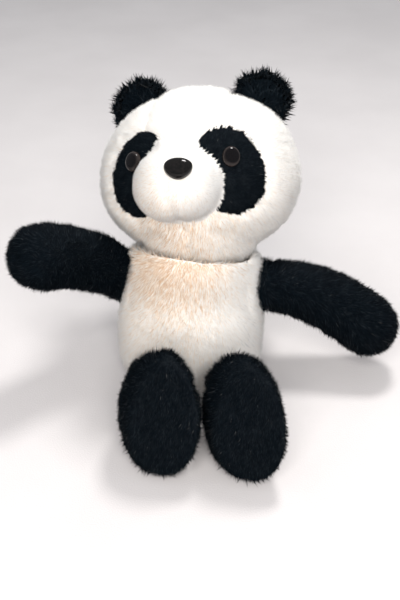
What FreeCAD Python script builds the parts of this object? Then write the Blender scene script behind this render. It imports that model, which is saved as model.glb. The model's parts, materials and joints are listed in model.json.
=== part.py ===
"""Plush panda, sitting: a soft toy of plush panels sewn over loose fibre stuffing.

Millimetres, +Z up. The panda faces -Y and its left side is +X. The origin is in the middle of the
flat seat that it rests on. Every outer face here is the outline of the pile, so a panel's
thickness is its knitted backing and its pile together.
"""
import FreeCAD, Part
import math
import os
from FreeCAD import Placement, Rotation, Vector

# ---- driving dimensions ----------------------------------------------------------------------
LEAN = 18.0  # the torso leans back from upright, degrees
LONG_PLUSH = 5.0  # panel thickness of the long white and black plush
SHORT_PLUSH = 3.0  # panel thickness of the clipped plush of the muzzle and eye patches
GAP = 0.6  # clear space between two bodies that turn against each other
SECTIONS = 14  # cross-sections through a torso, head or muzzle

# Outlines are (radius, height) up the middle line of a body, from its lowest to its highest point.
TORSO_OUTLINE = [(0, -15), (31, -12), (48, 3), (54, 28), (54, 46), (51, 74), (46, 99), (33, 112), (0, 118)]
TORSO_DEPTH = (0.80, 1.0)  # front to back over side to side, at its lowest and its highest point
SIDE_SEAM_Y = 6.0  # the side seams lie this far behind the torso's middle

NECK_X, NECK_Z = 4.5, 122.0  # centre of the neck ball, in the torso's own frame
UNDERSIDE_RADIUS = 48.0  # the head's underside is a sphere of this radius round the neck ball's centre
NECK_BALL = 24.0
NECK_STEM = 16.0  # radius of the neck's lower end, in the torso's stuffing
NECK_LENGTH = 58.0
NECK_TURNS = (-25.0, 0.0, 25.0)  # the head turns on the torso between these, degrees
NECK_NODS = (-8.0, 12.0)  # and nods back and forwards between these
OPENING_FLARE = 19.0  # half angle of the head's neck opening, which leaves room for the nod

HEAD_RISE = 25.0  # the head's centre above the neck ball's centre
HEAD_OUTLINE = [(0, -58), (34, -52), (62, -33), (73, -8), (70, 18), (54, 43), (28, 59), (0, 63.5)]
HEAD_DEPTH = (0.84, 0.84)
HEAD_TURN = -9.0  # degrees to the panda's left
HEAD_TIP = 12.5  # degrees back past the torso's lean
HEAD_TILT = 6.5  # degrees that its left side is raised
CROWN_WIDTH = 50.0  # the gusset over the top of the head
CROWN_FLOOR = 12.0  # the gusset's lower edge, above the head's centre
BACK_SEAM_Y = 10.0  # the front and back panels of the head meet here, at the ears

PATCH_WIDTH, PATCH_HEIGHT = 46.0, 60.0
PATCH_X, PATCH_Z = 30.5, -1.0  # centre of an eye patch, from the head's centre
PATCH_LEAN = 8.0  # the tops of the patches lean in towards each other, degrees

MUZZLE_OUTLINE = [(0, -27), (21, -22), (31.5, -6), (31, 4), (26, 15), (16.5, 25), (0, 30.5)]
MUZZLE_DEPTH = (1.0, 1.0)
MUZZLE_CENTRE = (-3.0, -50.0, -9.0)  # from the head's centre; it is sewn on a little off the middle

EYE_WIDTH, EYE_HEIGHT, EYE_RISE = 12.0, 14.0, 4.5
EYE_X, EYE_Z = 34.0, 7.0
NOSE_WIDTH, NOSE_HEIGHT, NOSE_RISE = 18.5, 14.5, 6.5
NOSE_X, NOSE_Z = 4.5, -2.5  # set by hand a little beside the muzzle's seam
SEAT_DEPTH = 1.0  # the rim of an eye or the nose sinks this far into the pile
STEM_RADIUS, STEM_LENGTH = 2.0, 11.0
WASHER_RADIUS, WASHER_THICKNESS = 6.0, 1.5
WASHER_DEPTH = 4.0  # from the fitting's rim to its washer

EAR_WIDTH, EAR_RISE, EAR_THICKNESS = 42.0, 28.0, 9.0
EAR_SHOULDER = 6.0  # the ear is at its widest this far above its hinge line
EAR_FOOT = 38.0  # width of the ear where it is sewn in
EAR_ANGLE = 50.0  # from level, round the head
EAR_Y = 9.0
EAR_SINK = 4.0  # the ear's hinge line lies this deep in the head's plush
EAR_SLOT = 16.0  # width of the gap in the head's plush that the ear stands and bends in

SHOULDER = Vector(50, 3, 70)  # the left arm's pivot, in the torso's own frame
SHOULDER_BALL = 21.0
ARM_RADII = [19.5, 21.5, 23.0, 24.0, 24.5]  # evenly spaced from the pivot to the paw's centre
ARM_REACH = 84.0  # along the arm's middle line, from the pivot to the paw's centre
# droop of the arm's root below level, sweep forwards of sideways, and bend along the arm, degrees
ARM_POSES = {"left": (0.0, -4.0, 38.0), "right": (-33.0, 53.0, 30.0)}
ARM_SWINGS = {"left": (-20.0, 50.0), "right": (-40.0, 4.0)}  # back and forwards from its pose

HIP = Vector(27, -32, 20)  # the left leg's pivot, above the seat's plane
HIP_BALL = 20.0
# from the pivot to the sole: distance, half width, half height, rise of the section's centre
LEG_SECTIONS = [
    (0, 16, 16, 0),
    (20, 17, 17, 0),
    (38, 22, 25, 6),
    (53, 26.5, 38, 17),
    (66, 28, 46, 24.5),
    (75, 26, 43, 24.5),
    (78, 20, 36, 24.5),
]
FOOT_TAPER = 0.12  # the foot is wider at the heel than at the toes
SOLE_DEPTH = 9.0  # the sole's edge seam lies this far behind its face
SOLE_LEAN = 12.0  # the toes lean back towards the body, degrees
# turn of the leg and sideways drift of the foot, both towards the panda's left, and the lean of
# the toes towards the other foot
LEG_POSES = {"left": (-8.0, 34.0, 5.0), "right": (-8.0, 34.0, 5.0)}

STITCH_COUNT = 9
STITCH_PITCH, STITCH_LENGTH, STITCH_RADIUS = 5.0, 8.0, 0.6
STITCH_LOW = 36.0  # the closing seam's lowest stitch, up the torso

BIG = 400.0
ORIGIN = Vector(0, 0, 0)
X_AXIS, Y_AXIS, Z_AXIS = Vector(1, 0, 0), Vector(0, 1, 0), Vector(0, 0, 1)


def turned(axis, degrees, centre=ORIGIN):
    return Placement(centre, Rotation(axis, degrees))


def moved(x, y, z):
    return Placement(Vector(x, y, z), Rotation())


TORSO_FRAME = turned(X_AXIS, -LEAN)
NECK_CENTRE = Vector(NECK_X, 0, NECK_Z)
HEAD_LIE = turned(Z_AXIS, HEAD_TURN) * turned(X_AXIS, -HEAD_TIP) * turned(Y_AXIS, -HEAD_TILT)
HEAD_FRAME = TORSO_FRAME * moved(*NECK_CENTRE) * HEAD_LIE * moved(0, 0, HEAD_RISE)
NECK_IN_HEAD = Vector(0, 0, -HEAD_RISE)


# ---- shapes that several pieces share --------------------------------------------------------
def oval(half_width, half_depth, height):
    """A closed oval wire round the Z axis."""
    points = []
    for step in range(12):
        turn = math.tau * step / 12
        points.append(Vector(half_width * math.cos(turn), half_depth * math.sin(turn), height))
    curve = Part.BSplineCurve()
    curve.interpolate(Points=points, PeriodicFlag=True)
    return Part.Wire(curve.toShape())


def egg(half_width, half_height, taper):
    """A closed wire in the XZ plane, facing -Y, wider at its bottom by the taper."""
    points = []
    for step in range(12):
        turn = math.tau * step / 12
        wide = half_width * math.cos(turn) * (1 - taper * math.sin(turn))
        points.append(Vector(wide, 0, half_height * math.sin(turn)))
    curve = Part.BSplineCurve()
    curve.interpolate(Points=points, PeriodicFlag=True)
    return Part.Wire(curve.toShape())


def inset(outline, thickness):
    """The outline moved towards its body's inside by a thickness."""
    moved_in = []
    last = len(outline) - 1
    for i, (radius, height) in enumerate(outline):
        run = outline[min(i + 1, last)][0] - outline[max(i - 1, 0)][0]
        rise = outline[min(i + 1, last)][1] - outline[max(i - 1, 0)][1]
        if i in (0, last):
            run, rise = (1, 0) if i == 0 else (-1, 0)
        length = math.hypot(run, rise)
        moved_in.append((radius - thickness * rise / length, height + thickness * run / length))
    return moved_in


def stuffed(outline, depth, thickness=0.0):
    """A round body of oval sections, whose half widths follow the outline."""
    low, high = depth
    points = [Vector(radius, 0, height) for radius, height in inset(outline, thickness)]
    side = Part.BSplineCurve()
    side.interpolate(Points=points, InitialTangent=X_AXIS, FinalTangent=-X_AXIS)
    sections = []
    for step in range(SECTIONS + 1):
        share = 0.5 - 0.49 * math.cos(math.pi * step / SECTIONS)
        edge = side.value(side.FirstParameter + share * (side.LastParameter - side.FirstParameter))
        sections.append(oval(edge.x, edge.x * (low + (high - low) * share), edge.z))
    return Part.makeLoft(sections, True)


def ball(radius, centre=ORIGIN):
    return Part.makeSphere(radius, centre)


def slab(low, high):
    """A box between two corners, for splitting a body into its panels."""
    size = Vector(*high) - Vector(*low)
    return Part.makeBox(size.x, size.y, size.z, Vector(*low))


def half(way, seam=0.0):
    """All the space on one side, left (1) or right (-1), of an upright middle seam."""
    return slab((min(seam, way * BIG), -BIG, -BIG), (max(seam, way * BIG), BIG, BIG))


def placed(shape, place):
    copy = shape.copy()
    copy.Placement = place * copy.Placement
    return copy


def mirrored(shape):
    return shape.mirror(ORIGIN, X_AXIS)


def above_floor(shape):
    return shape.common(slab((-BIG, -BIG, 0), (BIG, BIG, BIG)))


def largest(shape):
    """A piece without the slivers that its cuts leave."""
    return max(shape.Solids, key=lambda solid: solid.Volume)


def face_point(body, x, z, side=-1):
    """Where a line along Y through (x, z) meets a round body's front (side -1) or back (side 1)."""
    line = Part.Line(Vector(x, -BIG, z), Vector(x, BIG, z))
    crossings = []
    for face in body.Faces:
        crossings += [Vector(p.X, p.Y, p.Z) for p in line.intersectCS(face.Surface)[0]]
    return max(crossings, key=lambda p: p.y * side)


def facing(body, x, z):
    """A place on the body's front with its Z axis square to the face there."""
    step = 2.0
    across = face_point(body, x + step, z) - face_point(body, x - step, z)
    upward = face_point(body, x, z + step) - face_point(body, x, z - step)
    return Placement(face_point(body, x, z), Rotation(across, upward, across.cross(upward), "ZXY"))


# ---- hard fittings: eyes, nose and their washers ---------------------------------------------
def dome(outline_at, rise):
    """A domed cap over an outline, which outline_at gives at a scale and a height."""
    shares = [(1.0, 0.0), (0.99, 0.3), (0.9, 0.62), (0.68, 0.86), (0.4, 0.97), (0.1, 1.0)]
    return Part.makeLoft([outline_at(scale, share * rise) for scale, share in shares], True)


def stem():
    return Part.makeCylinder(STEM_RADIUS, STEM_LENGTH, Vector(0, 0, -STEM_LENGTH))


def eye():
    def outline(scale, height):
        return oval(EYE_WIDTH / 2 * scale, EYE_HEIGHT / 2 * scale, height)

    return dome(outline, EYE_RISE).fuse(stem())


def nose():
    """An upside-down rounded triangle, domed."""

    def outline(scale, height):
        wire = egg(NOSE_WIDTH / 2 * scale, NOSE_HEIGHT / 2 * scale, -0.2)
        return placed(wire, moved(0, 0, height) * turned(X_AXIS, -90))

    return dome(outline, NOSE_RISE).fuse(stem())


def washer():
    base = Vector(0, 0, -WASHER_DEPTH - WASHER_THICKNESS)
    disc = Part.makeCylinder(WASHER_RADIUS, WASHER_THICKNESS, base)
    return disc.cut(Part.makeCylinder(STEM_RADIUS, WASHER_THICKNESS, base))


# ---- head ------------------------------------------------------------------------------------
def head_body(thickness=0.0):
    """The head with its round underside, which turns in the torso's dish."""
    underside = ball(UNDERSIDE_RADIUS - thickness, NECK_IN_HEAD)
    return stuffed(HEAD_OUTLINE, HEAD_DEPTH, thickness).fuse(underside)


def neck_opening():
    """The neck ball's pocket, and the flared way down out of it that the nod needs."""
    flare = math.tan(math.radians(OPENING_FLARE))
    wide, deep = NECK_STEM + GAP, UNDERSIDE_RADIUS + 5
    down = HEAD_LIE.Rotation.inverted().multVec(-Z_AXIS)
    cone = Part.makeCone(wide, wide + deep * flare, deep, NECK_IN_HEAD, down)
    return ball(NECK_BALL + GAP, NECK_IN_HEAD).fuse(cone)


def patch_prism():
    """The outline of the left eye patch, run straight back into the head."""
    place = moved(PATCH_X, -BIG, PATCH_Z) * turned(Y_AXIS, -PATCH_LEAN)
    wire = placed(egg(PATCH_WIDTH / 2, PATCH_HEIGHT / 2, 0.08), place)
    return Part.Face(wire).extrude(Vector(0, BIG, 0))


def fitted(place, fitting):
    """A fitting and its washer in a place, and the room they take out of the fabric and stuffing."""
    seat = place * moved(0, 0, -SEAT_DEPTH)
    body, ring = placed(fitting, seat), placed(washer(), seat)
    return body, ring, body.fuse(ring)


def head_pieces():
    outer, inner = head_body(), head_body(LONG_PLUSH)
    clipped = stuffed(HEAD_OUTLINE, HEAD_DEPTH, LONG_PLUSH - SHORT_PLUSH)
    middle = moved(*MUZZLE_CENTRE)
    muzzle_outer = placed(stuffed(MUZZLE_OUTLINE, MUZZLE_DEPTH), middle)
    muzzle_inner = placed(stuffed(MUZZLE_OUTLINE, MUZZLE_DEPTH, SHORT_PLUSH), middle)
    left_prism = patch_prism()
    right_prism = mirrored(left_prism)
    opening = neck_opening()

    nose_part, nose_ring, nose_room = fitted(facing(muzzle_outer, NOSE_X, NOSE_Z), nose())
    left_eye, left_ring, left_room = fitted(facing(clipped, EYE_X, EYE_Z), eye())
    rooms = nose_room.fuse([left_room, mirrored(left_room)])

    left_slot = ear_slot()
    slots = [left_slot, mirrored(left_slot)]
    skin = outer.cut(inner).cut(left_prism).cut(right_prism).cut(muzzle_outer).cut(opening).cut(slots)
    front = skin.common(slab((-BIG, -BIG, -BIG), (BIG, BACK_SEAM_Y, BIG)))
    back = skin.common(slab((-BIG, BACK_SEAM_Y, -BIG), (BIG, BIG, BIG)))
    crown_slab = slab((-CROWN_WIDTH / 2, -BIG, CROWN_FLOOR), (CROWN_WIDTH / 2, BIG, BIG))
    cheeks = front.cut(crown_slab)
    cover = muzzle_outer.cut(muzzle_inner).cut(inner).cut(rooms)
    seam = MUZZLE_CENTRE[0]

    pieces = {
        "head_crown": front.common(crown_slab),
        "head_stuffing": inner.cut(opening).cut(rooms).cut(slots),
        "muzzle_stuffing": muzzle_inner.cut(inner).cut(rooms),
        "eye_left": left_eye,
        "eye_right": mirrored(left_eye),
        "eye_washer_left": left_ring,
        "eye_washer_right": mirrored(left_ring),
        "nose": nose_part,
        "nose_washer": nose_ring,
    }
    for name, way, prism in (("left", 1, left_prism), ("right", -1, right_prism)):
        pieces["eye_patch_" + name] = clipped.common(prism).cut(inner).cut(muzzle_outer).cut(rooms)
        pieces["head_side_" + name] = largest(cheeks.common(half(way)))
        pieces["head_back_" + name] = back.common(half(way))
        pieces["muzzle_" + name] = cover.common(half(way, seam))
    return {name: placed(piece, HEAD_FRAME) for name, piece in pieces.items()}


# ---- ears ------------------------------------------------------------------------------------
def ear_frame():
    """The left ear's hinge line is this place's X axis, and the ear stands up along its Z axis."""
    ray = Vector(math.cos(math.radians(EAR_ANGLE)), 0, math.sin(math.radians(EAR_ANGLE)))
    middle = Vector(0, EAR_Y, 0)
    crossings = Part.makeLine(middle, middle + ray * BIG).common(head_body()).Vertexes
    outside = max((vertex.Point for vertex in crossings), key=lambda p: p.z)
    return Placement(outside - ray * EAR_SINK, Rotation(Y_AXIS, 90 - EAR_ANGLE))


def ear_slot():
    """The gap in the head's plush for an ear, from below its hinge line up and outwards."""
    end, side = EAR_WIDTH / 2 + GAP, EAR_SLOT / 2
    floor = EAR_THICKNESS / 2 + GAP
    return placed(slab((-end, -side, -floor), (end, side, BIG)), ear_frame())


def ear_pieces():
    """Two layers of plush, round-topped, with a rounded lower edge that turns in the head's slot."""
    half, foot = EAR_THICKNESS / 2, EAR_FOOT / 2
    left, right = Vector(-EAR_WIDTH / 2, 0, EAR_SHOULDER), Vector(EAR_WIDTH / 2, 0, EAR_SHOULDER)
    outline = [
        Part.Arc(left, Vector(0, 0, EAR_RISE), right).toShape(),
        Part.makeLine(right, Vector(foot, 0, 0)),
        Part.makeLine(Vector(foot, 0, 0), Vector(-foot, 0, 0)),
        Part.makeLine(Vector(-foot, 0, 0), left),
    ]
    face = Part.Face(Part.Wire(outline))
    hem = Part.makeCylinder(half, EAR_FOOT, Vector(-foot, 0, 0), X_AXIS)
    frame = ear_frame()
    ears = {}
    for layer, way in (("front", -1), ("back", 1)):
        side = slab((-BIG, min(0, way * BIG), -BIG), (BIG, max(0, way * BIG), BIG))
        sheet = face.extrude(Vector(0, way * half, 0)).fuse(hem.common(side))
        ears["ear_" + layer + "_left"] = placed(placed(sheet, frame), HEAD_FRAME)
        ears["ear_" + layer + "_right"] = placed(mirrored(placed(sheet, frame)), HEAD_FRAME)
    return ears


# ---- neck and torso --------------------------------------------------------------------------
def neck_body(grow=0.0):
    stalk = Part.makeCylinder(NECK_STEM + grow, NECK_LENGTH + grow, NECK_CENTRE, -Z_AXIS)
    return ball(NECK_BALL + grow, NECK_CENTRE).fuse(stalk)


def head_room(turn, nod):
    """The space that the head fills when it is turned and nodded from its place at rest."""
    nodded = turned(Z_AXIS, HEAD_TURN) * turned(X_AXIS, nod) * turned(Z_AXIS, -HEAD_TURN)
    place = moved(*NECK_CENTRE) * turned(Z_AXIS, turn) * nodded * HEAD_LIE * moved(0, 0, HEAD_RISE)
    return placed(stuffed(HEAD_OUTLINE, HEAD_DEPTH, -GAP), place)


def arm_room(side, forward):
    """The space that an arm fills when it is swung forwards from its pose by some degrees."""
    room = placed(arm_body(ARM_POSES[side][2], -GAP), arm_frame(side, forward))
    return room if side == "left" else mirrored(room)


def pockets():
    """The room in the torso for the head, the neck and the four limbs."""
    in_torso_frame = [ball(UNDERSIDE_RADIUS + GAP, NECK_CENTRE), neck_body(GAP)]
    in_torso_frame += [head_room(turn, nod) for turn in NECK_TURNS for nod in NECK_NODS]
    in_torso_frame += [arm_room(side, limit) for side in ARM_SWINGS for limit in ARM_SWINGS[side]]
    hips = [ball(HIP_BALL + GAP, Vector(side * HIP.x, HIP.y, HIP.z)) for side in (1, -1)]
    return [placed(room, TORSO_FRAME) for room in in_torso_frame] + hips


def hollowed(shape, rooms):
    """What is left of a piece when each room in turn is taken out of it."""
    for room in rooms:
        shape = shape.cut(room)
    return largest(shape)


def stitches(torso):
    """The hand-sewn stitches that close the back: short threads across the middle seam."""
    threads = []
    for count in range(STITCH_COUNT):
        point = face_point(torso, 0, STITCH_LOW + count * STITCH_PITCH, side=1)
        start = point - X_AXIS * STITCH_LENGTH / 2 - Y_AXIS * STITCH_RADIUS * 2
        threads.append(Part.makeCylinder(STITCH_RADIUS, STITCH_LENGTH, start, X_AXIS))
    return Part.makeCompound(threads)


def torso_pieces():
    outer = stuffed(TORSO_OUTLINE, TORSO_DEPTH)
    inner = stuffed(TORSO_OUTLINE, TORSO_DEPTH, LONG_PLUSH)
    threads = stitches(outer)
    shell = outer.cut(inner).cut(threads)
    panels = {
        "torso_front": slab((-BIG, -BIG, -BIG), (BIG, SIDE_SEAM_Y, BIG)),
        "torso_back_left": slab((0, SIDE_SEAM_Y, -BIG), (BIG, BIG, BIG)),
        "torso_back_right": slab((-BIG, SIDE_SEAM_Y, -BIG), (0, BIG, BIG)),
    }
    rooms = pockets()
    base = placed(outer, TORSO_FRAME).common(slab((-BIG, -BIG, 0), (BIG, BIG, LONG_PLUSH)))
    stuffing = placed(inner, TORSO_FRAME).common(slab((-BIG, -BIG, LONG_PLUSH), (BIG, BIG, BIG)))
    pieces = {"torso_stuffing": hollowed(stuffing, rooms)}
    for name, region in panels.items():
        panel = placed(shell.common(region), TORSO_FRAME).fuse(base.common(placed(region, TORSO_FRAME)))
        pieces[name] = hollowed(above_floor(panel), rooms)
    pieces["closing_stitches"] = placed(threads, TORSO_FRAME)
    pieces["neck_stuffing"] = placed(neck_body(), TORSO_FRAME)
    return pieces


# ---- arms ------------------------------------------------------------------------------------
def arm_frame(side, forward=0.0):
    """Where a left arm of one side's pose stands, swung forwards from rest by some degrees."""
    droop, sweep, _ = ARM_POSES[side]
    return moved(*SHOULDER) * turned(Z_AXIS, -sweep - forward) * turned(Y_AXIS, droop)


def arm_body(bend, thickness=0.0):
    """An arm along +X from its pivot, curving down, with a ball at its root and a round paw."""
    radius_of_bend = ARM_REACH / math.radians(bend)
    sections = []
    last = len(ARM_RADII) - 1

    def section(share, radius, beyond):
        turn = share * bend
        along = radius_of_bend * math.sin(math.radians(turn))
        fall = radius_of_bend * (1 - math.cos(math.radians(turn)))
        place = moved(along, 0, -fall) * turned(Y_AXIS, 90 + turn) * moved(0, 0, beyond)
        sections.append(placed(oval(radius, radius, 0), place))

    for step, radius in enumerate(ARM_RADII):
        section(step / last, radius - thickness, 0)
    paw = ARM_RADII[-1] - thickness
    for degrees in (25, 48, 68, 84):
        section(1.0, paw * math.cos(math.radians(degrees)), paw * math.sin(math.radians(degrees)))
    return Part.makeLoft(sections, True).fuse(ball(SHOULDER_BALL - thickness))


def limb_pieces(outer, inner, panels):
    """A limb's stuffing, and its skin split into panels by the given regions."""
    skin = outer.cut(inner)
    pieces = {name: skin.common(region) for name, region in panels.items()}
    pieces["stuffing"] = inner
    return pieces


def arm_pieces():
    panels = {
        "front": slab((-BIG, -BIG, -BIG), (BIG, 0, BIG)),
        "back": slab((-BIG, 0, -BIG), (BIG, BIG, BIG)),
    }
    arms = {}
    for side, (_, _, bend) in ARM_POSES.items():
        for name, piece in limb_pieces(arm_body(bend), arm_body(bend, LONG_PLUSH), panels).items():
            piece = placed(piece, arm_frame(side))
            if side == "right":
                piece = mirrored(piece)
            arms["arm_" + name + "_" + side] = placed(piece, TORSO_FRAME)
    return arms


# ---- legs ------------------------------------------------------------------------------------
def leg_sections(drift, lean_in, thickness):
    reach = LEG_SECTIONS[-1][0]
    for distance, half_width, half_height, rise in LEG_SECTIONS:
        share = distance / reach
        place = moved(drift * share, -(reach - thickness) * share, rise)
        tilt = turned(Y_AXIS, -lean_in * share) * turned(X_AXIS, -SOLE_LEAN * share)
        wire = egg(half_width - thickness, half_height - thickness, FOOT_TAPER * share)
        yield wire, place * tilt


def leg_body(drift, lean_in, thickness=0.0):
    """A leg along -Y from its pivot to the flat sole of an upright foot."""
    wires = [placed(wire, place) for wire, place in leg_sections(drift, lean_in, thickness)]
    return Part.makeLoft(wires, True).fuse(ball(HIP_BALL - thickness))


def leg_pieces():
    reach = LEG_SECTIONS[-1][0]
    legs = {}
    for side, (turn, drift, lean_in) in LEG_POSES.items():
        if side == "right":
            turn, drift = -turn, -drift
        outer, inner = leg_body(drift, lean_in), leg_body(drift, lean_in, LONG_PLUSH)
        *_, (_, sole_frame) = leg_sections(drift, lean_in, 0.0)
        sole = placed(slab((-BIG, -BIG, -BIG), (BIG, SOLE_DEPTH, BIG)), sole_frame)
        along = turned(Z_AXIS, math.degrees(math.atan2(drift, reach)))
        panels = {
            "sole": sole,
            "outer": placed(slab((0, -BIG, -BIG), (BIG, BIG, BIG)), along).cut(sole),
            "inner": placed(slab((-BIG, -BIG, -BIG), (0, BIG, BIG)), along).cut(sole),
        }
        frame = moved(*HIP) * turned(Z_AXIS, turn)
        for name, piece in limb_pieces(outer, inner, panels).items():
            piece = placed(piece, frame)
            if side == "right":
                piece = mirrored(piece)
            node = "sole_" + side if name == "sole" else "leg_" + name + "_" + side
            legs[node] = above_floor(piece)
    return legs


# ---- the panda -------------------------------------------------------------------------------
def main():
    os.makedirs("parts", exist_ok=True)
    pieces = {}
    for group in (torso_pieces, head_pieces, ear_pieces, arm_pieces, leg_pieces):
        pieces.update(group())
    for name, shape in pieces.items():
        if not shape.isValid() or not shape.Solids:
            raise ValueError(name + " is not a valid solid")
        shape.exportStep("parts/" + name + ".step")
        print(name, len(shape.Solids), round(shape.Volume / 1000, 2), "cm3")


main()
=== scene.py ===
"""The plush panda's looks: sewn skins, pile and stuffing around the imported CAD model.

Metres, in the frame's own axes: the panda faces -Y, its left side is +X and it sits on Z = 0.
Every skin is remeshed from the CAD panels, so its size and place are the frame's.
"""
import json
import math
import bmesh
import bpy
import numpy as np
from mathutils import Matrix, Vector
from mathutils.bvhtree import BVHTree


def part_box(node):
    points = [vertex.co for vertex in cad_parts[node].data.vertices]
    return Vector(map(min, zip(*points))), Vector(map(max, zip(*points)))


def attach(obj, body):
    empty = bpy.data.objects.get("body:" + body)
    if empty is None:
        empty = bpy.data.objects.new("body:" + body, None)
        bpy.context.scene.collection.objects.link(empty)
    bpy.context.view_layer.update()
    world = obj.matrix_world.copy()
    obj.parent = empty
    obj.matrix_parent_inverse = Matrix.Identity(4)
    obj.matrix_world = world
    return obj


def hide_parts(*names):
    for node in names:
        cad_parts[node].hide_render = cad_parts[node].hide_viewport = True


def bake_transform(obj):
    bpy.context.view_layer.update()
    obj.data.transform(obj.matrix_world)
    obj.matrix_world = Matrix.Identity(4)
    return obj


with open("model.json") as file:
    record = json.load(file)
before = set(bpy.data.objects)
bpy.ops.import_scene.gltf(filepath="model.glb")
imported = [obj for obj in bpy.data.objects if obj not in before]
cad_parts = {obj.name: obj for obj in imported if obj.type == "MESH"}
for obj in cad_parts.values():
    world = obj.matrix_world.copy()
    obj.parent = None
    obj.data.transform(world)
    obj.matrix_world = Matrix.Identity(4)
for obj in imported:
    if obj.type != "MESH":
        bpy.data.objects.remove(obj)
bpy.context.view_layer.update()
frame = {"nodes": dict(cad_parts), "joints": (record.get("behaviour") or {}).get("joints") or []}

MM = 0.001
SIDES = ("left", "right")
WORLD_UP = np.array([0.0, 0.0, 1.0])
FORWARD = np.array([0.0, -1.0, 0.0])
JOINTS = {joint["name"]: joint for joint in frame["joints"]}

# The skins.
VOXEL = 1.8 * MM  # size of a skin's faces
BACKING = 1.2 * MM  # thickness of the knitted backing
BACKING_SHARE = 0.3  # most of the way to the skin's far side that the backing may take
FIBRE_SHARE = 0.42  # most of the way to the skin's far side that the fibre may lie at
PILE_SHARE = 0.33  # most of the way to the CAD's far side that the pile may take
LONG_PILE = 4.4 * MM  # the backing lies this deep under the tips of the long pile
OTHER_PILES = {"eye_patch": 2.4 * MM, "muzzle": 2.4 * MM, "ear": 3.0 * MM, "sole": 3.2 * MM}
CRUSHED = 1.0 * MM  # depth of the pile where another part presses on it
SEAM_DEPTH = 1.3 * MM  # a seam pulls the skin in by this much
SEAM_REACH = 3.5 * MM  # and fades out over about this distance
BULGE_SIZE = 34 * MM  # the stuffing makes slow bulges in the skin
BULGE_HEIGHT = 0.35 * MM
RIM_SPREAD = 16  # rounds that spread a hollow's rim before it is rounded
RIM_ROUNDS = 45  # rounds that round it
FIBRE_ROUNDS = 8  # rounds that even the fibre where it is pinched
BENT_FIBRE_ROUNDS = 26  # the same in a part that bends at a joint
NECK_HOLLOW = 62 * MM  # reach from the neck's joint of the torso's hollow, where the head sits
HEAD_HOLLOW = 34 * MM  # and of the hollow under the head
LIMB_SLOT = 31 * MM  # reach from a limb's joint of its socket, which the torso's skin closes
EAR_SLOT = 34 * MM  # reach from an ear's joint of its slot, which the head's skin closes
HIP_GIRTH = 0.6  # a leg's girth at its root, as a share of the CAD's
HIP_REACH = 42 * MM  # over this distance from its root a leg widens to its full girth

# The pile.
TUFT_ROOT = 0.3 * MM  # a tuft starts this far under the skin
PARTING = 0.3  # share of its length that the pile loses along a seam
PARTING_REACH = 2.2 * MM
LENGTH_SPREAD = (0.75, 1.15)  # shortest and longest tuft, as shares of the style's length
WIDTH_SPREAD = (0.7, 1.3)
LEAST_RISE = 0.25  # least rise and fall for a unit of length that a tuft's trimming counts with
LEAST_FALL = 0.01
ON_FLOOR = 6 * MM  # skin that faces down under this height rests on the floor
FACING_DOWN = -0.8
COLLAR_REACH = 50 * MM  # nearer to the neck's joint than this, the torso's pile turns up
COLLAR_FADE = 8 * MM  # and has turned fully this much nearer
SUNK_IN_TORSO = 5 * MM  # head pile deeper than this inside the torso's outline isn't grown
SUNK_IN_SOCKET = 2.5 * MM  # the same for the limbs
SUNK_IN_HEAD = 3.5 * MM  # and for the ears inside the head's outline


# ---- mesh arithmetic ---------------------------------------------------------------------------
def unit(vectors):
    return vectors / np.maximum(np.linalg.norm(vectors, axis=-1, keepdims=True), 1e-12)


def node_arrays(nodes):
    """Vertices, triangles and each triangle's node number of several CAD nodes together."""
    points, triangles, labels, count = [], [], [], 0
    for number, node in enumerate(nodes):
        mesh = frame["nodes"][node].data
        mesh.calc_loop_triangles()
        own = np.zeros(len(mesh.vertices) * 3, np.float32)
        mesh.vertices.foreach_get("co", own)
        corners = np.zeros(len(mesh.loop_triangles) * 3, np.int32)
        mesh.loop_triangles.foreach_get("vertices", corners)
        points.append(own.reshape(-1, 3).astype(float))
        triangles.append(corners.reshape(-1, 3) + count)
        labels.append(np.full(len(triangles[-1]), number))
        count += len(points[-1])
    return np.concatenate(points), np.concatenate(triangles), np.concatenate(labels)


def stacked(meshes):
    """Several meshes of triangles as one."""
    starts = np.cumsum([0] + [len(points) for points, _ in meshes])
    return (np.concatenate([points for points, _ in meshes]),
            np.concatenate([triangles + start for (_, triangles), start in zip(meshes, starts)]))


def bridge(nodes, centre, reach):
    """The convex solid round the CAD points near a place, which fills a slot there."""
    points = node_arrays(nodes)[0]
    shape = bmesh.new()
    for point in points[np.linalg.norm(points - centre, axis=1) < reach]:
        shape.verts.new(point)
    bmesh.ops.convex_hull(shape, input=shape.verts)
    shape.verts.index_update()
    triangles = [[vertex.index for vertex in face.verts] for face in shape.faces]
    points = np.array([vertex.co for vertex in shape.verts])
    shape.free()
    return points, np.array(triangles)


def new_mesh(name, points, faces):
    """A mesh from arrays; every face has the same number of corners."""
    mesh = bpy.data.meshes.new(name)
    corners = faces.shape[1]
    mesh.vertices.add(len(points))
    mesh.vertices.foreach_set("co", points.astype(np.float32).ravel())
    mesh.loops.add(faces.size)
    mesh.loops.foreach_set("vertex_index", faces.astype(np.int32).ravel())
    mesh.polygons.add(len(faces))
    mesh.polygons.foreach_set("loop_start", np.arange(0, faces.size, corners, dtype=np.int32))
    mesh.update(calc_edges=True)
    return mesh


def new_object(name, mesh):
    made = bpy.data.objects.new(name, mesh)
    bpy.context.scene.collection.objects.link(made)
    return made


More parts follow.
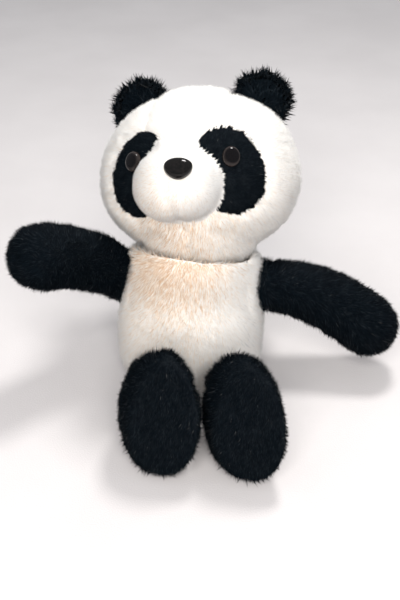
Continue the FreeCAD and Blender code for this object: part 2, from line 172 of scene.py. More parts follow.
def remeshed(points, triangles):
    """The outside of some closed solids as one even mesh of small quads."""
    source = new_object("remesh", new_mesh("remesh", points, triangles))
    modifier = source.modifiers.new("even", "REMESH")
    modifier.mode = "VOXEL"
    modifier.voxel_size = VOXEL
    evaluated = source.evaluated_get(bpy.context.evaluated_depsgraph_get())
    mesh = evaluated.to_mesh()
    new_points = np.zeros(len(mesh.vertices) * 3, np.float32)
    mesh.vertices.foreach_get("co", new_points)
    corners = np.zeros(len(mesh.loops), np.int32)
    mesh.loops.foreach_get("vertex_index", corners)
    evaluated.to_mesh_clear()
    bpy.data.meshes.remove(source.data)
    return largest_shell(new_points.reshape(-1, 3).astype(float), corners.reshape(-1, 4))


def largest_shell(points, quads):
    """Drops every loose shell but the largest."""
    group = np.arange(len(points))
    while True:
        lowest = group[quads].min(axis=1)
        before = group.copy()
        for corner in range(4):
            np.minimum.at(group, quads[:, corner], lowest)
        group = group[group]
        if (group == before).all():
            break
    values, counts = np.unique(group[quads[:, 0]], return_counts=True)
    kept = quads[group[quads[:, 0]] == values[counts.argmax()]]
    used, corners = np.unique(kept, return_inverse=True)
    return points[used], corners.reshape(-1, 4)


def normals_of(points, quads):
    across = points[quads[:, 2]] - points[quads[:, 0]]
    back = points[quads[:, 3]] - points[quads[:, 1]]
    total = np.zeros_like(points)
    for corner in range(4):
        np.add.at(total, quads[:, corner], np.cross(across, back))
    return unit(total)


def relaxed(values, quads, steps):
    """Values moved towards the mean of their neighbours' by each of some steps in turn."""
    ends = np.concatenate([quads[:, [i, (i + 1) % 4]] for i in range(4)])
    count = np.bincount(ends[:, 0], minlength=len(values))[:, None]
    for step in steps:
        total = np.zeros(values.shape)
        np.add.at(total, ends[:, 0], values[ends[:, 1]])
        values = values + (total / count - values) * step
    return values


def smoothed(points, quads, rounds):
    """Each round goes in and back out again, so that the size is kept."""
    inwards, outwards = 0.55, -0.57
    return relaxed(points, quads, (inwards, outwards) * rounds)


def evened(values, quads, rounds):
    """Values blurred over the mesh, further with more rounds."""
    step = 0.6
    return relaxed(values, quads, (step,) * rounds)


def eased(share):
    """A share that leaves 0 and reaches 1 gently."""
    return share ** 2 * (3 - 2 * share)


def room_inside(points, quads, normals):
    """How far it is from each point, inwards, to the far side of the surface."""
    under_surface = 0.05 * MM
    tree = BVHTree.FromPolygons(points.tolist(), quads.tolist())
    starts = points - normals * under_surface
    hits = (tree.ray_cast(Vector(start), Vector(-normal)) for start, normal in zip(starts, normals))
    return np.array([hit[3] if hit[3] is not None else 0.0 for hit in hits])


def rng_for(name):
    """A generator of random numbers that depends on the piece's name only."""
    return np.random.default_rng([ord(letter) for letter in name])


def lumps(points, size, seed):
    """Smooth noise between about -1 and 1, whose bumps are of a size: a sum of plane waves."""
    waves = 12
    shortest, longest = 0.7, 1.8
    random = np.random.default_rng(seed)
    total = np.zeros(len(points))
    for _ in range(waves):
        way = unit(random.normal(size=3))
        wave = way * math.tau / (size * random.uniform(shortest, longest))
        total += np.sin(points @ wave + random.uniform(0, math.tau))
    return total / math.sqrt(waves / 2)


class Hull:
    """The convex outside of some CAD nodes, to find what lies hidden inside it."""

    WAYS = 900  # directions in which the outside is measured
    SEED = 5
    CHUNKS = 9  # the nodes' points are many, so the directions are taken in turns
    POINTS_AT_ONCE = 4000

    def __init__(self, nodes):
        points = node_arrays(nodes)[0]
        self.directions = unit(np.random.default_rng(self.SEED).normal(size=(self.WAYS, 3)))
        self.reach = np.concatenate([(points @ part.T).max(axis=0)
                                     for part in np.array_split(self.directions, self.CHUNKS)])

    def depth(self, points):
        """How deep each point lies inside; negative outside."""
        found = [(self.reach - part @ self.directions.T).min(axis=1)
                 for part in np.array_split(points, max(1, len(points) // self.POINTS_AT_ONCE))]
        return np.concatenate(found)


# ---- skins and stuffing ------------------------------------------------------------------------
def pile_of(node):
    """How deep a panel's backing lies under the tips of its pile."""
    return next((depth for start, depth in OTHER_PILES.items() if node.startswith(start)), LONG_PILE)


def shade_of(node):
    return "white" if node.startswith(("torso", "head", "muzzle")) else "black"


def slot_of(node):
    short = node.startswith(("muzzle", "eye_patch"))
    return shade_of(node) + ("_short_plush" if short else "_long_plush")


class Part:
    """One stuffed part: the mesh of its skin, and the CAD panel that each place belongs to.

    blend is the parent body and the start and end of the bend that joins the part to it.
    pockets are the centre and reach of each hollow that another part sits in.
    slots are the centre and reach of each slot that the skin closes over.
    waist is the root, tip, least girth and reach of a limb drawn together at its root.
    """

    def __init__(self, body, panels, inside, blend=None, pockets=(), slots=(), waist=None):
        self.body = body
        self.panels = panels
        self.inside = inside
        self.blend = blend
        self.pockets = pockets
        self.waist = waist
        solids = [node_arrays(panels + inside)[:2]] + [bridge(panels, *slot) for slot in slots]
        self.points, self.quads = remeshed(*stacked(solids))
        points, triangles, self.panel_of = node_arrays(panels)
        self.tree = BVHTree.FromPolygons(points.tolist(), triangles.tolist())
        self.shrink()
        self.gather()
        self.sew()

    def gather(self):
        """Narrows a limb round its root, where it is drawn together to be sewn on."""
        if not self.waist:
            return
        root, tip, girth, reach = self.waist
        way = unit(tip - root)
        along = (self.points - root) @ way
        middle_line = root + along[:, None] * way
        share = girth + (1 - girth) * eased(np.clip(along / reach, 0, 1))
        self.points = middle_line + (self.points - middle_line) * share[:, None]

    def round_rims(self, normals):
        """Rounds the sharp edges of the hollows."""
        hollow = self.pocketed(self.points, normals).astype(float)[:, None]
        hollow = evened(hollow, self.quads, RIM_SPREAD)
        on_rim = 4 * hollow * (1 - hollow)
        for _ in range(RIM_ROUNDS):
            drawn = evened(self.points, self.quads, rounds=1) - self.points
            self.points = self.points + drawn * on_rim

    def shrink(self):
        """The backing lies under the pile: the CAD panels reach to the pile's tips."""
        steps = 3
        depths = np.array([pile_of(node) for node in self.panels])
        normals = normals_of(self.points, self.quads)
        pile = np.minimum(depths[self.labels_at(self.points)],
                          PILE_SHARE * room_inside(self.points, self.quads, normals))
        pile = np.where(self.pocketed(self.points, normals), CRUSHED, pile)
        pile = evened(pile[:, None], self.quads, rounds=4)
        self.round_rims(normals)
        for _ in range(steps):
            self.points = self.points - normals_of(self.points, self.quads) * pile / steps
            self.points = smoothed(self.points, self.quads, rounds=3)
        bulge = lumps(self.points, BULGE_SIZE, seed=3)[:, None] * BULGE_HEIGHT
        self.points += normals_of(self.points, self.quads) * bulge

    def labels_at(self, points):
        return np.array([self.panel_of[self.tree.find_nearest(Vector(p))[2]] for p in points])

    def sew(self):
        """Finds the seams, where two panels meet, and pulls the skin in along them."""
        middles = self.points[self.quads].mean(axis=1)
        self.labels = self.labels_at(middles)
        pocketed = self.pocketed(self.points, normals_of(self.points, self.quads))
        owner = {}
        seam = set()
        for face, quad in enumerate(self.quads.tolist()):
            for start, end in zip(quad, quad[1:] + quad[:1]):
                edge = (min(start, end), max(start, end))
                other = owner.setdefault(edge, face)
                if self.labels[other] != self.labels[face] and not pocketed[start]:
                    seam.update(edge)
        self.seam_points = self.points[sorted(seam)] if seam else np.zeros((0, 3))
        self.to_seam = self.seam_distance(self.points)
        pull = SEAM_DEPTH * np.exp(-((self.to_seam / SEAM_REACH) ** 2))
        self.points = self.points - normals_of(self.points, self.quads) * pull[:, None]
        self.normals = normals_of(self.points, self.quads)
        self.room = room_inside(self.points, self.quads, self.normals)[:, None]

    def pocketed(self, points, normals):
        """True on the inside of the hollows that other parts sit in."""
        facing = 0.6  # least cosine between the skin's normal and the way to the hollow's centre
        found = np.zeros(len(points), bool)
        for centre, reach in self.pockets:
            way = centre - points
            distance = np.linalg.norm(way, axis=1)
            found |= (distance < reach) & ((way * normals).sum(axis=1) > facing * distance)
        return found

    def inside_by(self, depth, share):
        """The skin's points moved inwards, by at most a share of the way to the far side."""
        return self.points - self.normals * np.minimum(depth, share * self.room)

    def seam_distance(self, points):
        """How far each point is from the nearest seam, found for some points at a time."""
        no_seam = 1.0
        most_seam_points, points_at_once = 900, 1500
        if not len(self.seam_points):
            return np.full(len(points), no_seam)
        seams = self.seam_points[:: 1 + len(self.seam_points) // most_seam_points]
        return np.concatenate([
            np.sqrt(((part[:, None, :] - seams[None, :, :]) ** 2).sum(axis=2).min(axis=1))
            for part in np.array_split(points, 1 + len(points) // points_at_once)
        ])


def join_up(made, part, slot):
    """Puts a finished piece on its CAD body; a piece of a part that bends at a joint is left in the frame,
    its place baked into its mesh.
    """
    if part.blend:
        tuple(part.blend[1])
        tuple(part.blend[2])
        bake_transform(made)
    else:
        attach(made, part.body)
    return made


def shell(points, quads, inner):
    """A closed sheet between a surface and its inner copy, with rims along its edges."""
    used, corners = np.unique(quads, return_inverse=True)
    corners = corners.reshape(-1, 4)
    count = len(used)
    edges = np.concatenate([corners[:, [i, (i + 1) % 4]] for i in range(4)])
    key = edges.min(axis=1) * count + edges.max(axis=1)
    _, first, times = np.unique(key, return_index=True, return_counts=True)
    rim = edges[first[times == 1]]
    rims = np.stack([rim[:, 1], rim[:, 0], rim[:, 0] + count, rim[:, 1] + count], axis=1)
    faces = np.concatenate([corners, corners[:, ::-1] + count, rims])
    return np.concatenate([points[used], inner[used]]), faces


def smooth_shaded(mesh):
    mesh.polygons.foreach_set("use_smooth", np.ones(len(mesh.polygons), bool))
    return mesh


def sew_skins(part, knits):
    """One closed fabric piece for each panel of a part, from the knit of the panel's shade."""
    inner = part.inside_by(BACKING, BACKING_SHARE)
    for number, node in enumerate(part.panels):
        own = part.quads[part.labels == number]
        points, faces = shell(part.points, own, inner)
        mesh = smooth_shaded(new_mesh("backing_" + node, points, faces))
        mesh.materials.append(knits[shade_of(node)])
        made = new_object("backing_" + node, mesh)
        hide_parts(node)
        join_up(made, part, slot_of(node))


def stuff(part, material):
    """The loose fibre inside a part, just under its skin and a little lumpy."""
    if not part.inside:
        return
    lump = 1.5 + 0.4 * np.abs(lumps(part.points, size=12 * MM, seed=8))[:, None]
    points = part.inside_by(BACKING * lump, FIBRE_SHARE)
    rounds = BENT_FIBRE_ROUNDS if part.blend else FIBRE_ROUNDS
    drawn = evened(points, part.quads, rounds) - points
    inwards = (drawn * part.normals).sum(axis=1) < 0
    pinched = part.room[:, 0] < 2 * BACKING
    points = points + drawn * (inwards | pinched)[:, None]
    mesh = smooth_shaded(new_mesh("fibre_" + part.body, points, part.quads))
    mesh.materials.append(material)
    made = new_object("fibre_" + part.body, mesh)
    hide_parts(*part.inside)
    join_up(made, part, "stuffing")


# ---- pile --------------------------------------------------------------------------------------
def scattered(part, spacing, node, random):
    """Evenly spread places on a panel: points, skin normals and distances to the seams."""
    drawn_per_kept = 5
    quads = part.quads[part.labels == part.panels.index(node)]
    corners = part.points[quads]
    diagonals = np.cross(corners[:, 2] - corners[:, 0], corners[:, 3] - corners[:, 1])
    areas = np.linalg.norm(diagonals, axis=1) / 2
    number = int(areas.sum() / spacing ** 2 * drawn_per_kept)
    chosen = random.choice(len(quads), number, p=areas / areas.sum())
    u, v = random.random((2, number, 1))
    weights = [(1 - u) * (1 - v), u * (1 - v), u * v, (1 - u) * v]
    points = sum(w * corners[chosen, i] for i, w in enumerate(weights))
    normals = unit(sum(w * part.normals[quads[chosen, i]] for i, w in enumerate(weights)))
    seam = sum(w[:, 0] * part.to_seam[quads[chosen, i]] for i, w in enumerate(weights))
    cells = np.floor(points / spacing).astype(np.int64)
    _, first = np.unique(cells, axis=0, return_index=True)
    first.sort()
    return points[first], normals[first], seam[first]


def spikes(roots, normals, directions, lengths, widths):
    """Three-sided tapered tufts: points, triangles and soft shading normals."""
    aside = normals + 0.01  # so that it isn't quite parallel to an upright tuft
    across = unit(np.cross(directions, aside))
    side = np.cross(directions, across)
    rows = []
    for turn in (0, 1, 2):
        angle = math.tau * turn / 3
        way = across * math.cos(angle) + side * math.sin(angle)
        rows.append(roots + way * widths[:, None] / 2)
    rows.append(roots + directions * lengths[:, None])
    points = np.stack(rows, axis=1)
    base = np.arange(len(roots))[:, None] * 4
    triangles = np.concatenate([base + np.array([a, b, 3]) for a, b in ((0, 1), (1, 2), (2, 0))])
    order = np.arange(len(triangles)).reshape(3, -1).T.ravel()
    by_skin, by_tuft = 0.62, 0.38  # the shading follows the skin more than the tuft
    soft = unit(by_skin * normals[:, None, :] + by_tuft * unit(points - roots[:, None, :]))
    return points.reshape(-1, 3), triangles[order], soft.reshape(-1, 3)


def tuft_directions(style, points, normals, random):
    """Out of the skin, leaning along the lay, swirled in clumps and a little loose."""
    lay = style["lay"](points)
    lay = unit(lay - normals * (lay * normals).sum(axis=1)[:, None])
    seeds = (11, 12, 13)  # one for each axis
    swirl = np.stack([lumps(points, style["clump"], seed) for seed in seeds], axis=1)
    loose = random.normal(size=points.shape)
    return unit(normals + lay * style["lean"] + swirl * style["swirl"] + loose * style["loose"])


def trimmed(lengths, points, normals, directions, height):
    """Lengths cut so that a tuft rises to at most a height and doesn't reach into the floor."""
    rise = np.clip((directions * normals).sum(axis=1), LEAST_RISE, 1)
    fall = np.maximum(-directions[:, 2], LEAST_FALL)
    over_floor = np.maximum(points[:, 2], 1 * MM)
    return np.minimum(np.minimum(lengths, height / rise), over_floor / fall)


def grow(part, node, style, shades, hidden, kind="pile"):
    """The pile of a panel, in a style and some shades, wherever it isn't hidden."""
    name = kind + "_" + node
    random = rng_for(name)
    points, normals, seam = scattered(part, style["spacing"], node, random)
    seen = ~hidden(points, normals)
    points, normals, seam = points[seen], normals[seen], seam[seen]
    directions = tuft_directions(style, points, normals, random)
    parting = PARTING if kind == "pile" else 0
    near_seam = 1 - parting * np.exp(-((seam / PARTING_REACH) ** 2))
    lengths = style["length"] * random.uniform(*LENGTH_SPREAD, len(points)) * near_seam
    lengths = trimmed(lengths, points, normals, directions, pile_of(node) + style["proud"])
    widths = style["width"] * random.uniform(*WIDTH_SPREAD, len(points))
    roots = points - normals * TUFT_ROOT
    mesh_points, triangles, soft = spikes(roots, normals, directions, lengths, widths)
    mesh = smooth_shaded(new_mesh(name, mesh_points, triangles))
    for material in shades.materials:
        mesh.materials.append(material)
    chosen = shades.choose(points, random)
    mesh.polygons.foreach_set("material_index", np.repeat(chosen, 3).astype(np.int32))
    mesh.normals_split_custom_set_from_vertices(soft)
    return join_up(new_object(name, mesh), part, slot_of(node))


# ---- materials ---------------------------------------------------------------------------------
def principled(name, colour, roughness, **sockets):
    """A material, its nodes, its links and its shader, with plain numbers set on the shader."""
    material = bpy.data.materials.new(name)
    material.use_nodes = True
    shader = material.node_tree.nodes["Principled BSDF"]
    shader.inputs["Base Color"].default_value = (*colour, 1)
    shader.inputs["Roughness"].default_value = roughness
    for socket, value in sockets.items():
        shader.inputs[socket.replace("_", " ")].default_value = value
    return material, material.node_tree.nodes, material.node_tree.links, shader


def noise_colours(nodes, links, shader, scale, low, high):
    """Base colour that drifts between two colours, in noise of a scale."""
    place = nodes.new("ShaderNodeTexCoord")
    noise = nodes.new("ShaderNodeTexNoise")
    ramp = nodes.new("ShaderNodeValToRGB")
    noise.inputs["Scale"].default_value = scale
    noise.inputs["Detail"].default_value = 4
    ramp.color_ramp.elements[0].position = 0.35
    ramp.color_ramp.elements[1].position = 0.65
    ramp.color_ramp.elements[0].color = (*low, 1)
    ramp.color_ramp.elements[1].color = (*high, 1)
    links.new(place.outputs["Object"], noise.inputs["Vector"])
    links.new(noise.outputs["Fac"], ramp.inputs["Fac"])
    links.new(ramp.outputs["Color"], shader.inputs["Base Color"])
    return place


def bumped(nodes, links, shader, place, scale, distance):
    """Fine relief on a surface, of a scale and a height."""
    grain = nodes.new("ShaderNodeTexNoise")
    bump = nodes.new("ShaderNodeBump")
    grain.inputs["Scale"].default_value = scale
    bump.inputs["Distance"].default_value = distance
    bump.inputs["Strength"].default_value = 0.6
    links.new(place.outputs["Object"], grain.inputs["Vector"])
    links.new(grain.outputs["Fac"], bump.inputs["Height"])
    links.new(bump.outputs["Normal"], shader.inputs["Normal"])


def knitted(name, low, high):
    """Knitted cloth, and other matt fibre."""
    material, nodes, links, shader = principled(name, low, roughness=0.95, Specular_IOR_Level=0.1)
    place = noise_colours(nodes, links, shader, scale=160, low=low, high=high)
    bumped(nodes, links, shader, place, scale=1400, distance=0.4 * MM)
    return material


def tuft(name, colour, sheen):
    return principled(
        name, colour, roughness=0.8, Specular_IOR_Level=0.08, Sheen_Weight=sheen, Sheen_Roughness=0.5
    )[0]


class Shades:
    """The colours of a pile, each with a function of place that says how common it is."""

    def __init__(self, *shades):
        self.materials = [material for material, _ in shades]
        self.shares = [share for _, share in shades]

    def choose(self, points, random):
        shares = np.stack([share(points) if callable(share) else np.full(len(points), share)
                           for share in self.shares], axis=1)
        heights = np.cumsum(shares / shares.sum(axis=1, keepdims=True), axis=1)
        return (random.random(len(points))[:, None] > heights[:, :-1]).sum(axis=1)


def spot(centre, reach, strength):
    """How strong a patch of colour, such as painted shade, is at a place: it fades with distance from its
    centre.
    """
    def share(points):
        return strength * np.exp(-((np.linalg.norm(points - np.array(centre), axis=1) / reach) ** 2))
    return share


# ---- the parts ---------------------------------------------------------------------------------
def joint_place(name):
    return np.array(JOINTS[name]["pos_m"])


def across_joint(name, parent, towards, before, after):
    """A bend from the parent body to the child, from before the joint to after it."""
    pivot = joint_place(name)
    way = unit(np.array(towards) - pivot)
    return parent, tuple(pivot + way * before), tuple(pivot + way * after)


def place_in(node, across, deep, up):
    """A place in a node's box, in shares of its width, depth and height from its low corner."""
    low, high = (np.array(corner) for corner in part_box(node))
    return low + (high - low) * (across, deep, up)


def middle(node):
    return place_in(node, 0.5, 0.5, 0.5)


def sided(side, *names):
    return [name + "_" + side for name in names]


TORSO_PANELS = ["torso_front", "torso_back_left", "torso_back_right"]
HEAD_PANELS = ["head_crown"] + [node for side in SIDES for node in
                                sided(side, "head_side", "head_back", "eye_patch", "muzzle")]


def make_torso():
    sockets = [(joint_place(joint + side), LIMB_SLOT)
               for joint in ("arm_sweep_", "leg_swing_") for side in SIDES]
    return Part("torso", TORSO_PANELS, ["torso_stuffing"],
                pockets=[(joint_place("neck_nod"), NECK_HOLLOW)], slots=sockets)


def make_head():
    return Part("head", HEAD_PANELS, ["head_stuffing", "muzzle_stuffing"],
                pockets=[(joint_place("neck_nod"), HEAD_HOLLOW)],
                slots=[(joint_place("ear_bend_" + side), EAR_SLOT) for side in SIDES])


def make_arm(side):
    bend = across_joint("arm_sweep_" + side, "torso", middle("arm_stuffing_" + side),
                        before=-6 * MM, after=26 * MM)
    return Part("arm_" + side, sided(side, "arm_front", "arm_back"), ["arm_stuffing_" + side], bend)


def make_leg(side):
    root, tip = joint_place("leg_swing_" + side), middle("sole_" + side)
    bend = across_joint("leg_swing_" + side, "torso", tip, before=-6 * MM, after=22 * MM)
    return Part("leg_" + side, sided(side, "leg_outer", "leg_inner", "sole"),
                ["leg_stuffing_" + side], bend, waist=(root, tip, HIP_GIRTH, HIP_REACH))


def make_ear(side):
    bend = across_joint("ear_bend_" + side, "head", middle("ear_front_" + side),
                        before=0.0, after=9 * MM)
    return Part("ear_" + side, sided(side, "ear_front", "ear_back"), [], bend)


def make_parts():
    parts = {"torso": make_torso(), "head": make_head()}
    for side in SIDES:
        parts["arm_" + side] = make_arm(side)
        parts["leg_" + side] = make_leg(side)
        parts["ear_" + side] = make_ear(side)
    return parts


parts = make_parts()
knits = {"white": knitted("white_knit", low=(0.78, 0.73, 0.68), high=(0.86, 0.83, 0.80)),
         "black": knitted("black_knit", low=(0.006, 0.008, 0.010), high=(0.012, 0.015, 0.018))}
fibre = knitted("fibre", low=(0.80, 0.80, 0.79), high=(0.88, 0.88, 0.87))
for part in parts.values():
    sew_skins(part, knits)
    stuff(part, material=fibre)


# ---- where no pile grows -----------------------------------------------------------------------
torso_hull = Hull(TORSO_PANELS + ["torso_stuffing"])
head_hull = Hull(["head_crown", "head_stuffing"])


def on_floor(points, normals):
    return (points[:, 2] < ON_FLOOR) & (normals[:, 2] < FACING_DOWN)


def hidden_on_torso(points, normals):
    return parts["torso"].pocketed(points, normals) | on_floor(points, normals)


def hidden_on_head(points, normals):
    return (torso_hull.depth(points) > SUNK_IN_TORSO) | parts["head"].pocketed(points, normals)


def hidden_on_limb(points, normals):
    return (torso_hull.depth(points) > SUNK_IN_SOCKET) | on_floor(points, normals)


def hidden_on_ear(points, normals):
    return head_hull.depth(points) > SUNK_IN_HEAD


# ---- which way the pile lies -------------------------------------------------------------------
def downwards(points):
    return np.tile(-WORLD_UP, (len(points), 1))


def down_from_collar(points):
    """Down the torso, but up against the head along the collar."""
    turned = WORLD_UP * 1.6 + FORWARD * 0.4
    distance = np.linalg.norm(points - joint_place("neck_nod"), axis=1)
    collar = np.clip((COLLAR_REACH - distance) / COLLAR_FADE, 0, 1)
    return turned * collar[:, None] - WORLD_UP


def away_from(centre, droop=0.0):
    """Away from a place, and down by a share."""
    def lay(points):
        return unit(points - centre) - WORLD_UP * droop
    return lay


def style(spacing, length, width, lean, lay, loose=0.2, swirl=0.22, clump=9.0, proud=1.0):
    """How a pile looks, with its spacing, length, width, clump and proud in millimetres.

    The tufts lean along the lay. Clumps of them swirl together, and each is a little loose.
    None stands more than proud over the panel's outline.
    """
    return {"spacing": spacing * MM, "length": length * MM, "width": width * MM, "lean": lean,
            "lay": lay, "loose": loose, "swirl": swirl, "clump": clump * MM, "proud": proud * MM}


# ---- the pile's colours ------------------------------------------------------------------------
bright = tuft("white_tuft", (0.88, 0.87, 0.85), sheen=0.2)
warm = tuft("warm_tuft", (0.86, 0.82, 0.77), sheen=0.2)
cream = tuft("cream_tuft", (0.83, 0.71, 0.59), sheen=0.2)
tan = tuft("tan_tuft", (0.68, 0.48, 0.33), sheen=0.1)
grey = tuft("grey_tuft", (0.62, 0.61, 0.62), sheen=0.2)
black = Shades((tuft("black_tuft", (0.0018, 0.0035, 0.0055), sheen=0.0), 0.55),
               (tuft("soft_black_tuft", (0.004, 0.007, 0.010), sheen=0.0), 0.36),
               (tuft("dark_grey_tuft", (0.011, 0.015, 0.019), sheen=0.05), 0.085),
               (tuft("stray_tuft", (0.07, 0.07, 0.07), sheen=0.0), 0.0012))

# Places where the pile changes colour: painted shadow on the upper chest, painted shade on the chin and
# the left cheek, and patches of other tones on the lower torso and the lower muzzle.
# Painted shadow: the warm, tan shade that the head casts on the upper chest.
CHEST_SHADOW = place_in("torso_front", across=0.32, deep=0.30, up=0.97)
LOW_LEFT = place_in("torso_front", across=0.20, deep=0.17, up=0.45)
LOW_RIGHT = place_in("torso_front", across=0.88, deep=0.31, up=0.49)
# Painted shade: warm and tan tones under the muzzle, on the chin.
CHIN_SHADE = place_in("muzzle_right", across=0.80, deep=0.42, up=-0.06)
MUZZLE_SIDE = place_in("muzzle_right", across=0.37, deep=0.0, up=0.25)
# Painted shade: warm and grey tones on the left cheek.
CHEEK_SHADE = place_in("head_side_left", across=0.72, deep=0.2, up=0.22)

head_white = Shades(
    (bright, 0.7),
    (warm, 0.26),
    # Painted shade under the muzzle, in warm, cream and tan tufts.
    (warm, spot(CHIN_SHADE, reach=50 * MM, strength=1.4)),
    (cream, spot(CHIN_SHADE, reach=32 * MM, strength=3.0)),
    (tan, spot(CHIN_SHADE, reach=20 * MM, strength=1.8)),
    # Painted shade on the left cheek, in warm and grey tufts.
    (warm, spot(CHEEK_SHADE, reach=34 * MM, strength=0.8)),
    (grey, spot(CHEEK_SHADE, reach=30 * MM, strength=0.22)),
)
muzzle_white = Shades(
    (bright, 0.7),
    (warm, spot(MUZZLE_SIDE, reach=30 * MM, strength=1.2)),
    (cream, spot(MUZZLE_SIDE, reach=22 * MM, strength=0.9)),
    (tan, spot(MUZZLE_SIDE, reach=16 * MM, strength=0.2)),
    (grey, 0.02),
)
torso_white = Shades(
    (bright, 0.72),
    (warm, 0.24),
    (warm, spot(LOW_LEFT, reach=42 * MM, strength=1.8)),
    (cream, spot(LOW_LEFT, reach=30 * MM, strength=0.6)),
    (grey, spot(LOW_RIGHT, reach=24 * MM, strength=0.07)),
    # Painted shadow of the head on the upper chest, in cream and tan tufts.
    (cream, spot(CHEST_SHADOW, reach=30 * MM, strength=6.0)),
    (tan, spot(CHEST_SHADOW, reach=23 * MM, strength=7.0)),
)


# ---- the pile on each part ---------------------------------------------------------------------
def cover_torso():
    part = parts["torso"]
    pile = style(spacing=0.68, length=5.8, width=0.6, lean=0.8, lay=down_from_collar,
                 loose=0.17, swirl=0.15, clump=6.0)
    for node in part.panels:
        grow(part, node, pile, torso_white, hidden_on_torso)


def cover_head():
    part = parts["head"]
    face = middle("nose")
    patch_pile = style(spacing=0.5, length=2.7, width=0.36, lean=0.5,
                       lay=away_from(face, droop=0.4), loose=0.15)
    muzzle_pile = style(spacing=0.5, length=2.9, width=0.36, lean=0.7,
                        lay=away_from(face, droop=0.2), loose=0.1, swirl=0.1)
    head_pile = style(spacing=0.68, length=5.8, width=0.6, lean=0.75,
                      lay=away_from(face, droop=0.5), loose=0.19, swirl=0.2, clump=6.0)
    for node in part.panels:
        if node.startswith("eye_patch"):
            grow(part, node, patch_pile, black, hidden_on_head)
        elif node.startswith("muzzle"):
            grow(part, node, muzzle_pile, muzzle_white, hidden_on_head)
        else:
            grow(part, node, head_pile, head_white, hidden_on_head)


def limb_tips(lay, proud):
    """The sparse longer tufts that stand out of a limb's pile."""
    return style(spacing=1.9, length=6.8, width=0.9, lean=0.8, lay=lay, loose=0.3, proud=proud)


def cover_arm(side):
    part = parts["arm_" + side]
    along = away_from(joint_place("arm_sweep_" + side), droop=0.2)
    pile = style(spacing=0.75, length=5.4, width=0.6, lean=0.75, lay=along, proud=0.3)
    for node in part.panels:
        grow(part, node, pile, black, hidden_on_limb)
        grow(part, node, limb_tips(along, proud=1.7), black, hidden_on_limb, "tips")


def cover_leg(side):
    part = parts["leg_" + side]
    along = away_from(joint_place("leg_swing_" + side))
    sole_pile = style(spacing=0.62, length=3.6, width=0.45, lean=0.5, lay=downwards)
    for node in part.panels:
        if node.startswith("sole"):
            grow(part, node, sole_pile, black, hidden_on_limb)
            continue
        proud = 1.4 if node.startswith("leg_inner") else 0.4
        pile = style(spacing=0.75, length=5.8, width=0.6, lean=0.7, lay=along, proud=proud)
        grow(part, node, pile, black, hidden_on_limb)
        grow(part, node, limb_tips(along, proud=1.9), black, hidden_on_limb, "tips")


def cover_ear(side):
    part = parts["ear_" + side]
    outwards = away_from(joint_place("ear_bend_" + side))
    pile = style(spacing=0.7, length=6.5, width=0.55, lean=0.8, lay=outwards, loose=0.3, proud=3.0)
    tips = style(spacing=1.6, length=9.5, width=1.3, lean=1.0, lay=outwards, loose=0.25, swirl=0.4,
                 clump=5.0, proud=6.0)
    for node in part.panels:
        grow(part, node, pile, black, hidden_on_ear)
        grow(part, node, tips, black, hidden_on_ear, "tips")


cover_torso()
cover_head()
for side in SIDES:
    cover_arm(side)
    cover_leg(side)
    cover_ear(side)


# ---- hard fittings and the hidden neck ---------------------------------------------------------
POLISHED = 0.06  # roughness of the eyes and the nose
PUPIL = (0.002, 0.0015, 0.002)
IRIS = (0.026, 0.021, 0.020)
PUPIL_REACH = 4.6 * MM  # the dark middle ends this far from the eye's foremost point
IRIS_REACH = 6.6 * MM  # and the paler ring is at its full colour from here on


def glossy(name, colour, mottled):
    """Polished plastic, a little mottled under its shine."""
    material, nodes, links, shader = principled(name, colour, POLISHED, Specular_IOR_Level=0.2)
    noise_colours(nodes, links, shader, scale=500, low=colour, high=mottled)
    return material


def ringed(node):
    """An eye's plastic: a dark middle on the side that faces out, and a paler ring round it."""
    material, nodes, links, shader = principled("plastic_" + node, PUPIL, POLISHED, Specular_IOR_Level=0.2)
    points = node_arrays([node])[0]
    washer = node_arrays([node.replace("eye", "eye_washer")])[0]
    heart = points.mean(axis=0)
    outwards = unit(heart - washer.mean(axis=0))
    apex = heart + outwards * (points - heart).dot(outwards).max()
    place = nodes.new("ShaderNodeTexCoord")
    distance = nodes.new("ShaderNodeVectorMath")
    distance.operation = "DISTANCE"
    distance.inputs[1].default_value = tuple(apex)
    ramp = nodes.new("ShaderNodeMapRange")
    ramp.inputs["From Min"].default_value = PUPIL_REACH
    ramp.inputs["From Max"].default_value = IRIS_REACH
    mix = nodes.new("ShaderNodeMix")
    mix.data_type = "RGBA"
    mix.inputs["A"].default_value = (*PUPIL, 1)
    mix.inputs["B"].default_value = (*IRIS, 1)
    links.new(place.outputs["Object"], distance.inputs[0])
    links.new(distance.outputs["Value"], ramp.inputs["Value"])
    links.new(ramp.outputs["Result"], mix.inputs["Factor"])
    links.new(mix.outputs["Result"], shader.inputs["Base Color"])
    return material


def moulded():
    """The plain pale plastic of the washers."""
    material, nodes, links, shader = principled("washer", (0.7, 0.7, 0.69), roughness=0.5)
    noise_colours(nodes, links, shader, scale=400, low=(0.68, 0.68, 0.67), high=(0.75, 0.75, 0.74))
    return material


def dress_fittings():
    """Gives the CAD nodes that stay visible their own materials."""
    carried = {
        "nose": glossy("nose_plastic", (0.003, 0.003, 0.003), mottled=(0.007, 0.006, 0.006)),
        "nose_washer": moulded(),
        "closing_stitches": knitted("thread", low=(0.72, 0.69, 0.64), high=(0.80, 0.77, 0.72)),
        "neck_stuffing": fibre,
    }
    for side in SIDES:
        carried["eye_" + side] = ringed("eye_" + side)
        carried["eye_washer_" + side] = carried["nose_washer"]
    for node, material in carried.items():
        mesh = frame["nodes"][node].data
        mesh.materials.clear()
        mesh.materials.append(material)


dress_fittings()


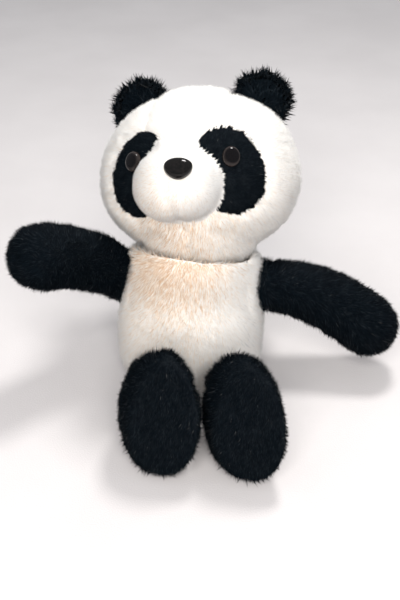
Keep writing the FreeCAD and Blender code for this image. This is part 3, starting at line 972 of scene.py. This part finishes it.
# ---- floor, light and camera -------------------------------------------------------------------
def lamp(name, place, aim, size, power, colour, shines=True):
    light = bpy.data.lights.new(name, "AREA")
    light.shape = "DISK"
    light.size = size
    light.energy = power
    light.color = colour
    made = new_object(name, light)
    made.location = place
    made.rotation_mode = "QUATERNION"
    made.rotation_quaternion = (Vector(aim) - Vector(place)).to_track_quat("-Z", "Y")
    made.visible_glossy = shines


def lay_floor():
    half = 3.0
    corners = np.array([[-half, -half, 0], [half, -half, 0], [half, half, 0], [-half, half, 0]])
    floor = new_object("floor", new_mesh("floor", corners, np.array([[0, 1, 2, 3]])))
    material, nodes, links, shader = principled("pale_floor", (0.58, 0.56, 0.565),
                                                roughness=0.9, Specular_IOR_Level=0.1)
    place = noise_colours(nodes, links, shader, scale=9, low=(0.57, 0.55, 0.555),
                          high=(0.60, 0.58, 0.585))
    bumped(nodes, links, shader, place, scale=900, distance=0.3 * MM)
    floor.data.materials.append(material)


def light():
    """A small lamp above and behind, a broad one in front, and soft light from all round."""
    centre = (0, 0, 0.1)
    lamp("key", (0.18, 0.28, 0.95), centre, size=0.22, power=6.5, colour=(1.0, 0.98, 0.95))
    lamp("fill", (0.05, -1.0, 0.75), centre, size=0.8, power=19.5, colour=(1.0, 0.965, 0.93),
         shines=False)
    world = bpy.data.worlds.new("studio")
    world.use_nodes = True
    sky = world.node_tree.nodes["Background"]
    sky.inputs["Color"].default_value = (0.95, 0.97, 1.0, 1)
    sky.inputs["Strength"].default_value = 0.55
    bpy.context.scene.world = world
    bpy.context.scene.view_settings.view_transform = "Standard"


def camera():
    """Seen from in front, a little from the panda's left and from above."""
    azimuth, elevation, distance = math.radians(6), math.radians(30), 0.75
    target = Vector((0, 0.02, 0.09))
    back = Vector((math.sin(azimuth) * math.cos(elevation), -math.cos(azimuth) * math.cos(elevation),
                   math.sin(elevation)))
    made = new_object("camera", bpy.data.cameras.new("camera"))
    made.data.lens = 63
    made.data.shift_x, made.data.shift_y = 0.0133, -0.075
    made.location = target + back * distance
    made.rotation_mode = "QUATERNION"
    made.rotation_quaternion = (-back).to_track_quat("-Z", "Y")
    bpy.context.scene.camera = made


lay_floor()
light()
camera()
